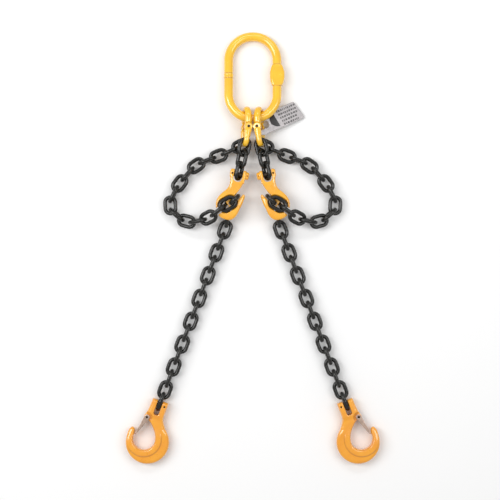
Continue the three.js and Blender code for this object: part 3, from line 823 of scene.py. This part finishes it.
def master_crease_shade(v):
    """Painted shade: the coat is darkened beside the weld's collar and under the boss's ends, where shade
    falls.
    """
    if v.x < 0:
        off = abs(v.y - WELD_UP) - COLLAR_SHADE_AT
        return COLLAR_SHADE_STRENGTH * peak(off, SHADE_LINE_WIDTH) * (abs(v.y) < COLLAR_REACH)
    return BOSS_SHADE_STRENGTH * peak(abs(v.y - BOSS_UP) - BOSS_HALF_LENGTH, SHADE_LINE_WIDTH)


def master_mesh():
    straight_half = master_apex - master_radius
    data = ring(master_radius, straight_half, master_section, arc_steps=72, straight_steps=160, sides=56)
    return mark_crease_shade(mesh_of("master", data), master_crease_shade)


# ---- Coupling links ----
LOCK_PIN_END = 19.8 * MM  # the load pin stops short of the outer eyes' lips
PIN_MOUTH = 2.6 * MM
COUPLING_EYE = LOCK_EYE + 0.5 * MM
COUPLING_WIRE = LOCK_WIRE - 0.2 * MM
EYE_ROOT = (6 * MM, 10 * MM)  # half its width, and how far up the leg it runs
LEG_FOOT = (4 * MM, 8 * MM, 12 * MM)
BEND_STEPS = 10
WIRE_SIDES = 24
EYE_TRIM = 20 * MM  # what is cut off outside each eye: to the sides and below
EYE_TRIM_TOP = 4 * MM
EYE_TRIM_OUT = 9 * MM
LEG_WIDENING = 0.2
WIDE_FROM = (5 * MM, 10 * MM)
SLIMS_OVER = 8 * MM


def coupling_path(reach, corner):
    """The wire's middle, up one leg, round the bow and down the other."""
    inset_z, straight = LOCK_HALF_WIDTH - corner, reach - corner
    points = [Vector((0, y, -LOCK_HALF_WIDTH)) for y in LEG_FOOT]
    for side, (first, last) in ((-1, (180, 90)), (1, (90, 0))):
        for i in range(BEND_STEPS + 1):
            a = rad(first + (last - first) * i / BEND_STEPS)
            y, z = straight + corner * math.sin(a), side * inset_z + corner * math.cos(a)
            points.append(Vector((0, y, z)))
    points += [Vector((0, y, LOCK_HALF_WIDTH)) for y in reversed(LEG_FOOT)]
    return [p for i, p in enumerate(points) if i == 0 or (p - points[i - 1]).length > 0.1 * MM]


def coupling_mesh(name, reach, corner, eye, slim_from):
    """A forged half drawn upright: the pin along Z at the origin, the bow at +Y, slim beyond slim_from."""
    parts = [tube(coupling_path(reach, corner), COUPLING_WIRE / 2, WIRE_SIDES, Vector((1, 0, 0)))]
    cuts = [rod(LOCK_PIN + GAP, -LOCK_PIN_END, LOCK_PIN_END), rod(PIN_MOUTH)]
    split = (EYE_INNER[1] + EYE_OUTER[0]) / 2
    rooms = [(split, THROUGH), (-THROUGH, -split)] if eye is EYE_INNER else [(-split, split)]
    cuts += [rod(COUPLING_EYE + GAP, low, high) for low, high in rooms]
    for side in (-1, 1):
        low, high = sorted((side * eye[0], side * eye[1]))
        parts.append(rod(COUPLING_EYE, low, high))
        parts.append(box((-EYE_ROOT[0], 0, low), (EYE_ROOT[0], EYE_ROOT[1], high)))
        low, high = sorted((side * eye[1], side * (eye[1] + EYE_TRIM_OUT)))
        cuts.append(box((-EYE_TRIM, -EYE_TRIM, low), (EYE_TRIM, EYE_TRIM_TOP, high)))

    def widened(v):
        wider = smoothstep(slim_from, slim_from - SLIMS_OVER, v.y) * smoothstep(*WIDE_FROM, v.y)
        return Vector((v.x * (1 + LEG_WIDENING * wider), v.y, v.z))

    return forged(name, parts, cuts, voxel=0.55 * MM, soften=5, shape=widened, keep=0.45)


# ---- Forks and pins ----
FORK_OPEN = 14  # millimetres above the pin, clear of the fork's end
BORE_CLEAR = 0.1 * MM
SLIT = 32
SPRING_PIN_WALL = 0.55 * MM
SPRING_PIN_STEPS = 22


def keeper_x(fork):
    """Where the keeper pin sits: the middle of one cheek of the fork."""
    return (fork[0] + fork[1]) / 2


def fork_cuts(fork, depth, radius, side):
    """The fork's slot with a round bottom, the load pin's bore, and the keeper pin's hole on one side."""
    wide, deep = fork[0] / MM, depth / MM
    slot_outline = outline(
        ("line", -wide, FORK_OPEN),
        ("line", -wide, wide - deep),
        ("quad", -wide, -deep, 0, -deep),
        ("quad", wide, -deep, wide, wide - deep),
        ("line", wide, FORK_OPEN),
    )
    bore = moved(rod(radius + BORE_CLEAR), ALONG_X)
    return [prism(slot_outline, THROUGH), bore, moved(rod(KEEPER), shifted(side * keeper_x(fork)))]


def spring_pin(half):
    """A rolled keeper pin: a slit tube along Z."""
    outer, inner = KEEPER - 0.05 * MM, KEEPER - SPRING_PIN_WALL
    steps = range(SPRING_PIN_STEPS)
    points = []
    for radius, order in ((outer, steps), (inner, reversed(steps))):
        for i in order:
            a = rad(SLIT / 2 + (360 - SLIT) * i / (SPRING_PIN_STEPS - 1))
            points.append(Vector((radius * math.cos(a), radius * math.sin(a))))
    return plate(points, half, 0.05 * MM, 1)


# ---- Shortening hook ----
GRAB_OUTLINE = outline(
    ("line", -17.2, 2),
    ("quad", -17.2, 9.2, -12, 9.2),
    ("line", 13, 9.2),
    ("quad", 15, 9, 15, 7),
    ("line", 15, -4),
    ("quad", 15, -14, 8, -30),
    ("line", 1, -44),
    ("line", 9, -49),
    ("line", 14.5, -40),
    ("quad", 17.5, -33, 21.5, -38.5),
    ("quad", 21, -54, 16.5, -66),
    ("quad", 13, -91.5, -3, -91.5),
    ("quad", -17, -92, -24, -84),
    ("quad", -33, -70, -31.5, -57),
    ("quad", -29, -47, -20.5, -37.5),
    ("quad", -12.5, -30, -13, -19),
    ("quad", -13, -11, -16, -7),
    ("quad", -17.2, -4, -17.2, 2),
)


ROOM = 1 * MM
WEB_CLEAR = 8 * MM
NEXT_ROOM = (2.4 * MM, 6.4 * MM)  # across the wire, and across the link
GRAB_BOWL = Vector((-4, -62)) * MM
GRAB_EDGE = 4.2 * MM
GRAB_CROWNING = 0.16
GRAB_WAISTING = 0.12
SLOT_OPEN = 40 * MM
BOSS_ROUNDING = (1.5 * MM, 2 * MM)  # at its foot and at its end
GRAB_BOSS_FROM = 12.5 * MM
BOSS_HOLE = 1.7 * MM  # a blind hole in the boss, from above
BOSS_HOLE_X = 17.6 * MM
BOSS_HOLE_BOTTOM = 4 * MM


def link_room(side, centre, way):
    """Room beside the web for a link that lies on it, in the hook's frame."""
    reach, half = LINK_CROWN + CHAIN_WIRE / 2 + ROOM, LINK_APEX - LINK_CROWN
    local = grab_frame.inverted()
    at, direction = local @ centre, local.to_3x3() @ way
    turn = math.degrees(math.atan2(direction.y, direction.x)) - 90
    ends = [("arc", 0, half / MM, reach / MM, 0, 180), ("arc", 0, -half / MM, reach / MM, 180, 360)]
    room = moved(prism(outline(*ends), WEB_CLEAR), shifted(z=side * (GRAB_WEB + WEB_CLEAR)))
    return moved(room, shifted(at.x, at.y) @ turned("Z", turn))


def next_room(link):
    """Room for the upright link beside a held one, in the hook's frame."""
    wide, long = CHAIN_WIRE / 2 + NEXT_ROOM[0], LINK_APEX + CHAIN_WIRE / 2 + ROOM
    tall = LINK_CROWN + NEXT_ROOM[1]
    return moved(box((-tall, -long, -wide), (tall, long, wide)), grab_frame.inverted() @ link)


def grab_shape(v):
    """Thins the shank's edges and crowns the bowl, as a forging's draft does."""
    off = (GRAB_BOWL - v.xy).length
    crown = 1 - GRAB_CROWNING * smoothstep(18 * MM, 32 * MM, off) * smoothstep(-38 * MM, -50 * MM, v.y)
    waist = 1 - GRAB_WAISTING * smoothstep(-16 * MM, -28 * MM, v.y) * smoothstep(-50 * MM, -36 * MM, v.y)
    return Vector((v.x, v.y, v.z * crown * waist))


def grab_mesh():
    slot_turn = shifted(*SLOT_AT) @ turned("Z", SLOT_ANGLE + GRAB_TURN)
    half = SLOT_WIDTH / 2
    slot = box((-LINK_CROWN, -half, -THROUGH), (SLOT_OPEN, half, THROUGH))
    end = moved(rod(half), shifted(-LINK_CROWN))
    foot, tip = BOSS_ROUNDING
    boss_profile = [
        (GRAB_BOSS - foot, GRAB_BOSS_FROM - foot),
        (GRAB_BOSS, GRAB_BOSS_FROM),
        (GRAB_BOSS, GRAB_BOSS_REACH - tip),
        (GRAB_BOSS - tip, GRAB_BOSS_REACH),
    ]
    cuts = [moved(slot, slot_turn), moved(end, slot_turn)]
    cuts += fork_cuts(GRAB_FORK, GRAB_FORK_DEPTH, GRAB_PIN, -1)
    cuts += [link_room(1, front_centre, front_way), link_room(-1, rear_centre, rear_way)]
    cuts += [next_room(loop_links[-1]), next_room(leg_links[0])]
    cuts.append(moved(rod(BOSS_HOLE, BOSS_HOLE_BOTTOM, THROUGH), shifted(BOSS_HOLE_X)))
    parts = [plate(GRAB_OUTLINE, GRAB_HALF, GRAB_EDGE), moved(lathe(boss_profile), ALONG_X)]
    return forged("grab", parts, cuts, voxel=0.75 * MM, soften=5, shape=grab_shape)


# ---- Sling hook ----
SLING_OUTLINE = outline(
    ("line", -16.5, 6.5),
    ("quad", -16.5, 8.5, -14.5, 8.5),
    ("line", 14.5, 8.5),
    ("quad", 16.5, 8.5, 16.5, 6.5),
    ("line", 16.5, -18),
    ("quad", 17, -30, 27, -40),
    ("arc", 3.5, -77, 42.6, 57, -180),
    ("quad", -41, -66, -36, -59.5),
    ("quad", -32, -57, -28.5, -62),
    ("quad", -26.5, -66, -26.5, -72),
    ("arc", -5, -73, 21.5, 180, 360),
    ("quad", 15, -58, 4, -47),
    ("quad", -3, -39, -9, -35.8),
    ("arc", -14.5, -31, 6.5, -60, -200),
    ("quad", -16.5, -20, -16.5, 6.5),
)
SLING_BOWL = Vector((-5, -73)) * MM
SLING_EDGE = 6 * MM
SLING_EDGE_STEPS = 7
FLASH_RADIUS = 34 * MM  # the step that runs round the bowl on both faces
FLASH_SLOPE = (1 * MM, 1.4 * MM)  # how far it reaches in and out
FLASH_DEPTH = 0.2
FLASH_FOOT = 0.6 * MM
# Width and strength of the shade painted along the foot of the step.
FLASH_SHADE_WIDTH = 1.1 * MM
FLASH_SHADE_STRENGTH = 0.4
FACE_FROM = 5 * MM
POINT_TAPER = 0.34
NECK_TAPER = 0.14
CHEEK_CUT = 10.5 * MM


def sling_shape(v):
    """Tapers the hook to its point and steps its faces down outside the bowl's thick inner band."""
    off = (v.xy - SLING_BOWL).length
    step = smoothstep(FLASH_RADIUS - FLASH_SLOPE[0], FLASH_RADIUS + FLASH_SLOPE[1], off)
    step *= smoothstep(-46 * MM, -62 * MM, v.y) * smoothstep(-36 * MM, -20 * MM, v.x)
    band = 1 - FLASH_DEPTH * step
    point = smoothstep(-14 * MM, -24 * MM, v.x) * smoothstep(-92 * MM, -58 * MM, v.y)
    neck = NECK_TAPER * smoothstep(-20 * MM, -30 * MM, v.y) * smoothstep(-62 * MM, -42 * MM, v.y)
    return Vector((v.x, v.y, v.z * band * (1 - POINT_TAPER * point) * (1 - neck)))


def sling_crease_shade(v):
    """Painted shade: the coat is darkened along the foot of the step, where shade falls."""
    off = (v.xy - SLING_BOWL).length - FLASH_RADIUS - FLASH_FOOT
    fading = smoothstep(-46 * MM, -62 * MM, v.y) * smoothstep(-34 * MM, -20 * MM, v.x)
    return FLASH_SHADE_STRENGTH * peak(off, FLASH_SHADE_WIDTH) * fading * (abs(v.z) > FACE_FROM)


def sling_mesh():
    lug = shifted(*LATCH_AT)
    cheeks = [rod(CHEEK_CUT, LUG_HALF, THROUGH), rod(CHEEK_CUT, -THROUGH, -LUG_HALF)]
    cuts = fork_cuts(SLING_FORK, SLING_FORK_DEPTH, SLING_PIN, 1)
    cuts += [moved(cut, lug) for cut in (*cheeks, rod(LATCH_PIN + GAP))]
    blank = plate(SLING_OUTLINE, SLING_HALF, SLING_EDGE, SLING_EDGE_STEPS)
    return forged("sling", [blank], cuts, voxel=0.8 * MM, soften=4, shape=sling_shape, crease_shade=sling_crease_shade)


# ---- Latch ----
SHEET_EDGE_STEPS = 3
CHEEK_EDGE = 0.3 * MM
BACK_HALF = 1 * MM
BACK_EDGE = 0.4 * MM
BACK_X = -1.6 * MM


def latch_mesh():
    """A folded plate: two tapering cheeks on the pin and a back plate that reaches the hook's point."""
    cheek = outline(
        ("arc", 0, 0, 5.6, 0, 180),
        ("line", -4, -16),
        ("line", -2.6, -38.5),
        ("line", -0.4, -39.5),
        ("quad", 0.9, -36, 1.8, -28),
        ("line", 4.4, -10),
    )
    width = EAR[1] / MM
    back = outline(
        ("line", -width, -11),
        ("line", -width, -34),
        ("quad", -width, -41, -4, -41),
        ("line", 4, -41),
        ("quad", width, -41, width, -34),
        ("line", width, -11),
    )
    parts = []
    for side in (-1, 1):
        middle = side * (EAR[0] + EAR[1]) / 2
        folded = plate(cheek, (EAR[1] - EAR[0]) / 2, CHEEK_EDGE, SHEET_EDGE_STEPS)
        parts.append(moved(folded, shifted(z=middle)))
    parts.append(moved(plate(back, BACK_HALF, BACK_EDGE, SHEET_EDGE_STEPS), shifted(BACK_X) @ ALONG_X))
    return forged("latch", parts, [rod(LATCH_PIN + GAP)], voxel=0.35 * MM, soften=2, keep=0.35)


def spring_mesh():
    """A torsion spring's coils round the latch pin."""
    radius, wire = 3.2 * MM, 0.42 * MM
    turns, steps, sides = 2.1, 70, 10
    low, high = LUG_HALF + GAP + wire, EAR[0] - GAP - wire
    points = []
    for i in range(steps + 1):
        t = i / steps
        a = 2 * math.pi * turns * t
        points.append(Vector((radius * math.cos(a), radius * math.sin(a), low + (high - low) * t)))
    return mesh_of("spring", tube(points, wire, sides, UP))


# ---- Tag ----
TAG_HALF = 1 * MM
TAG_EDGE = 0.35 * MM
TAG_CUT = 6 * MM
MARK_STEPS = 2
DASH_HALF = 0.3 * MM
DASH_EDGE = 0.25 * MM
DASH_Z = 1.05 * MM
PANEL_HALF = 0.3 * MM
PANEL_EDGE = 0.2 * MM
PANEL_Z = 1.1 * MM


def tag_mesh():
    """The plate, necked at the left where its eye goes round the bush."""
    plain = outline(
        ("line", 4, -18),
        ("line", 89, -18),
        ("quad", 90.5, -18, 92, -15),
        ("line", 84.6, 18),
        ("quad", 84, 20, 82, 20),
        ("line", 42, 20),
        ("quad", 32, 18, 26, 9.6),
        ("line", 0, 9.6),
        ("arc", 0, 0, 9.6, 90, 180),
        ("quad", -9, -14, 4, -18),
    )
    eye = outline(("arc", 14, 0, 7.2, -90, 90), ("arc", 0, 0, 7.2, 90, 270))
    blank = plate(plain, TAG_HALF, TAG_EDGE, SHEET_EDGE_STEPS)
    return forged("tag", [blank], [prism(eye, TAG_CUT)], voxel=0.4 * MM, soften=1, keep=0.25)


DASH_SEED = 7
DASH_ROWS = 5
DASH_FROM = (44, 1.2)  # the first row's, and each next row's shift
DASH_TO = (83, -0.6)
DASH_ROW_Y = (14.2, -7)
DASH_LONG = (1.8, 4.4)
DASH_SPACE = (1.1, 1.9)
DASH_HALF_TALL = 1.9 * MM


def tag_marks():
    """Rows of blank raised dashes, in place of any wording."""
    dashes = random.Random(DASH_SEED)
    parts = []
    for row in range(DASH_ROWS):
        x, end, y = ((first + step * row) * MM for first, step in (DASH_FROM, DASH_TO, DASH_ROW_Y))
        while x < end:
            long, tall = dashes.uniform(*DASH_LONG) * MM, DASH_HALF_TALL
            dash = [Vector((a, b)) for a, b in ((0, -tall), (long, -tall), (long, tall), (0, tall))]
            parts.append(moved(plate(dash, DASH_HALF, DASH_EDGE, MARK_STEPS), shifted(x, y, DASH_Z)))
            x += long + dashes.uniform(*DASH_SPACE) * MM
    return mesh_of("marks", joined(parts))


def tag_panel():
    """A plain dark patch beside the eye."""
    patch = outline(
        ("line", 25, -4),
        ("quad", 24.5, 9, 30, 13),
        ("line", 37, 12),
        ("line", 40.5, -13.5),
        ("quad", 33, -14.5, 25, -4),
    )
    return mesh_of("panel", moved(plate(patch, PANEL_HALF, PANEL_EDGE, MARK_STEPS), shifted(z=PANEL_Z)))


# ---- Pieces of each side: name, body, material, mesh and place ----
def pin_mesh(radius, half, **ends):
    return mesh_of("pin", pin(radius, half, **ends))


def keeper_mesh(hook_half):
    return mesh_of("keeper", spring_pin(hook_half - 0.6 * MM))


upper_half = coupling_mesh("upper", LOCK_TOP, LOCK_HALF_WIDTH, EYE_INNER, 80 * MM)
lower_half = coupling_mesh("lower", LOCK_BOTTOM, 8 * MM, EYE_OUTER, 22 * MM)
bush = mesh_of("bush", sleeve(LOCK_PIN + GAP, BUSH_RADIUS, -BUSH_HALF, BUSH_HALF))
lock_pin = pin_mesh(LOCK_PIN, LOCK_PIN_END - 0.2 * MM)
latch_pin = pin_mesh(LATCH_PIN, LATCH_PIN_HALF, chamfer=0.5 * MM, dish=0.2 * MM)
grab_pin_frame = grab_frame @ ALONG_X
grab_keeper_frame = grab_frame @ shifted(-keeper_x(GRAB_FORK))
sling_pin_frame = sling_frame @ ALONG_X
sling_keeper_frame = sling_frame @ shifted(keeper_x(SLING_FORK))
SIDE_PIECES = [
    ("coupling_upper_half", "coupling_upper", YELLOW, upper_half, lock),
    ("coupling_lower_half", "coupling_lower", YELLOW, lower_half, lower_frame @ turned("Z", 180)),
    ("coupling_load_pin", "coupling_upper", DARK, lock_pin, lock),
    ("coupling_bush", "coupling_upper", PASSIVATED, bush, lock),
    ("grab_hook", "grab_hook", GOLD, grab_mesh(), grab_frame),
    ("grab_hook_load_pin", "grab_hook", DARK, pin_mesh(GRAB_PIN, GRAB_PIN_HALF), grab_pin_frame),
    ("grab_hook_keeper_pin", "grab_hook", DARK, keeper_mesh(GRAB_HALF), grab_keeper_frame),
    ("held_links", "grab_hook", BLACK, chain_mesh("held", held_links), Matrix()),
    ("sling_hook", "sling_hook", AMBER, sling_mesh(), sling_frame),
    ("sling_hook_load_pin", "sling_hook", DARK, pin_mesh(SLING_PIN, SLING_PIN_HALF), sling_pin_frame),
    ("sling_hook_keeper_pin", "sling_hook", DARK, keeper_mesh(SLING_HALF), sling_keeper_frame),
    ("latch", "latch", STEEL, latch_mesh(), latch_frame),
    ("latch_pin", "sling_hook", DARK, latch_pin, latch_frame),
    ("latch_spring", "sling_hook", STEEL, spring_mesh(), latch_frame),
]
CHAINS = (
    ("short_link", short_links, (1, 1, 1)),
    ("loop_chain", loop_links, LOOP_PIECES),
    ("leg_chain", leg_links, LEG_PIECES),
)
for kind, links, counts in CHAINS:
    for i, group in enumerate(pieces_of(links, counts)):
        part = f"{kind}_{i + 1}"
        SIDE_PIECES.append((part, part, BLACK, chain_mesh(part, group), Matrix()))

for side, mirror in (("left", Matrix()), ("right", Matrix.Scale(-1, 4, Vector((1, 0, 0))))):
    for part, body, material, mesh, place in SIDE_PIECES:
        name, matrix = f"{side}_{part}", mirror @ ORIGIN @ place
        edged = part.endswith(("pin", "bush"))
        show(f"{name}_fine", mesh.copy(), material, f"{side}_{body}", name, matrix, edged)

# ---- Pieces in the middle ----
master_bar = shifted(0, master_bar_y, LOCK_PIN_AT.z) @ turned("X", -math.degrees(master_tilt))
master_frame = ORIGIN @ master_bar @ shifted(y=master_apex)
tag_frame = ORIGIN @ shifted(*TAG_AT) @ turned("Z", TAG_TURN) @ turned("Y", TAG_SLOPE)
show("master_link_fine", master_mesh(), YELLOW, "master_link", "master_link", master_frame)
show("id_tag_fine", tag_mesh(), TAG, "id_tag", "id_tag", tag_frame)
show("id_tag_marks", tag_marks(), STAMP, "id_tag", None, tag_frame, edged=True)
show("id_tag_panel", tag_panel(), INK, "id_tag", None, tag_frame, edged=True)

# ---- Floor, light and camera ----
FLOOR_HALF = 25
FLOOR_DEPTH = 0.02
floor_box = box((-FLOOR_HALF, -FLOOR_HALF, -FLOOR_DEPTH), (FLOOR_HALF, FLOOR_HALF, 0))
floor = added("floor", mesh_of("floor", floor_box))
floor.data.materials.append(ground("floor_paint"))
floor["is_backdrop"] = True

world = bpy.data.worlds.new("studio")
world.use_nodes = True
sky = world.node_tree.nodes["Background"].inputs
sky["Color"].default_value = (1, 1, 1, 1)
sky["Strength"].default_value = 0.5
bpy.context.scene.world = world
bpy.context.scene.view_settings.view_transform = "Standard"


def soft_light(name, at, target, size, power):
    """A softbox, wide along X and long along Y."""
    lamp = bpy.data.lights.new(name, "AREA")
    lamp.shape = "RECTANGLE"
    lamp.size, lamp.size_y = size
    lamp.energy = power
    light = added(name, lamp)
    light.location = at
    light.rotation_euler = (Vector(target) - Vector(at)).to_track_quat("-Z", "Y").to_euler()


soft_light("key", at=(-1.3, 0.35, 2), target=(0, 0.05, 0), size=(0.75, 1.7), power=27)
soft_light("fill", at=(1.2, 0.2, 2.2), target=(0, 0, 0), size=(0.6, 1.7), power=15)
soft_light("top", at=(0, 1.7, 1.9), target=(0, 0, 0), size=(1.6, 0.3), power=9)

VIEW_WIDTH = 0.9835
VIEW_CENTRE = Vector((-0.0055, -0.0047, 0.015))
lens = bpy.data.cameras.new("camera")
lens.lens = 85
camera = added("camera", lens)
camera.location = VIEW_CENTRE + UP * (VIEW_WIDTH * lens.lens / lens.sensor_width)
bpy.context.scene.camera = camera


def plain(bounds):
    return [list(map(float, corner)) for corner in bounds]


{"cad": plain(cad_bounds), "visual": plain(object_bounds())}
